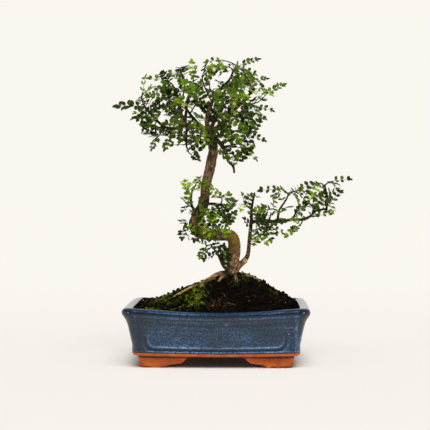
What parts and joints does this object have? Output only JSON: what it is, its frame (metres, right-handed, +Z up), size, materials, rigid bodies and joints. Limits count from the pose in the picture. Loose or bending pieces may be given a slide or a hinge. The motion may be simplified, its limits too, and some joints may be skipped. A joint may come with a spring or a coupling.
{
  "type": "chinese pepper bonsai",
  "caption": "Bonsai pepper tree with an S-shaped trunk, pinnate leaves and surface roots, growing from mounded soil in a flared glazed pot on bracket feet.",
  "frame": {"origin": "bottom centre of the whole, on the surface that the pot stands on", "axes": "+Z up along the tree, +X to the right and -Y to the front as in the picture"},
  "size_m": [0.334, 0.191, 0.4214],
  "materials": {
    "glazed_clay": "streaked blue glaze over orange clay",
    "screen_plastic": "moulded mesh",
    "soil": "damp peaty soil with moss",
    "bark": "rough brown bark",
    "leaf": "satin green leaf"
  },
  "bodies": {
    "root": {"pot": "glazed_clay", "drain_screen_left": "screen_plastic", "drain_screen_right": "screen_plastic", "soil": "soil", "tree_wood": "bark", "crown_spray_01": "leaf", "crown_spray_02": "leaf", "crown_spray_03": "leaf", "crown_spray_04": "leaf", "crown_spray_05": "leaf", "crown_spray_06": "leaf", "crown_spray_07": "leaf", "crown_spray_08": "leaf", "crown_spray_09": "leaf", "crown_spray_10": "leaf", "crown_spray_11": "leaf", "crown_spray_12": "leaf", "crown_spray_13": "leaf", "crown_spray_14": "leaf", "crown_spray_15": "leaf", "crown_spray_16": "leaf", "crown_spray_17": "leaf", "crown_spray_18": "leaf", "crown_spray_19": "leaf", "crown_spray_20": "leaf", "crown_spray_21": "leaf", "crown_spray_22": "leaf", "crown_spray_23": "leaf", "crown_spray_24": "leaf", "crown_spray_25": "leaf", "crown_spray_26": "leaf", "crown_spray_27": "leaf", "crown_spray_28": "leaf", "crown_spray_29": "leaf", "crown_spray_30": "leaf", "crown_spray_31": "leaf", "crown_spray_32": "leaf", "crown_spray_33": "leaf", "crown_spray_34": "leaf", "crown_spray_35": "leaf", "crown_spray_36": "leaf", "middle_spray_01": "leaf", "middle_spray_02": "leaf", "middle_spray_03": "leaf", "middle_spray_04": "leaf", "middle_spray_05": "leaf", "middle_spray_06": "leaf", "middle_spray_07": "leaf", "middle_spray_08": "leaf", "right_spray_01": "leaf", "right_spray_02": "leaf", "right_spray_03": "leaf", "right_spray_04": "leaf", "right_spray_05": "leaf", "right_spray_06": "leaf", "right_spray_07": "leaf", "right_spray_08": "leaf", "right_spray_09": "leaf", "right_spray_10": "leaf", "right_spray_11": "leaf"}
  },
  "joints": []
}
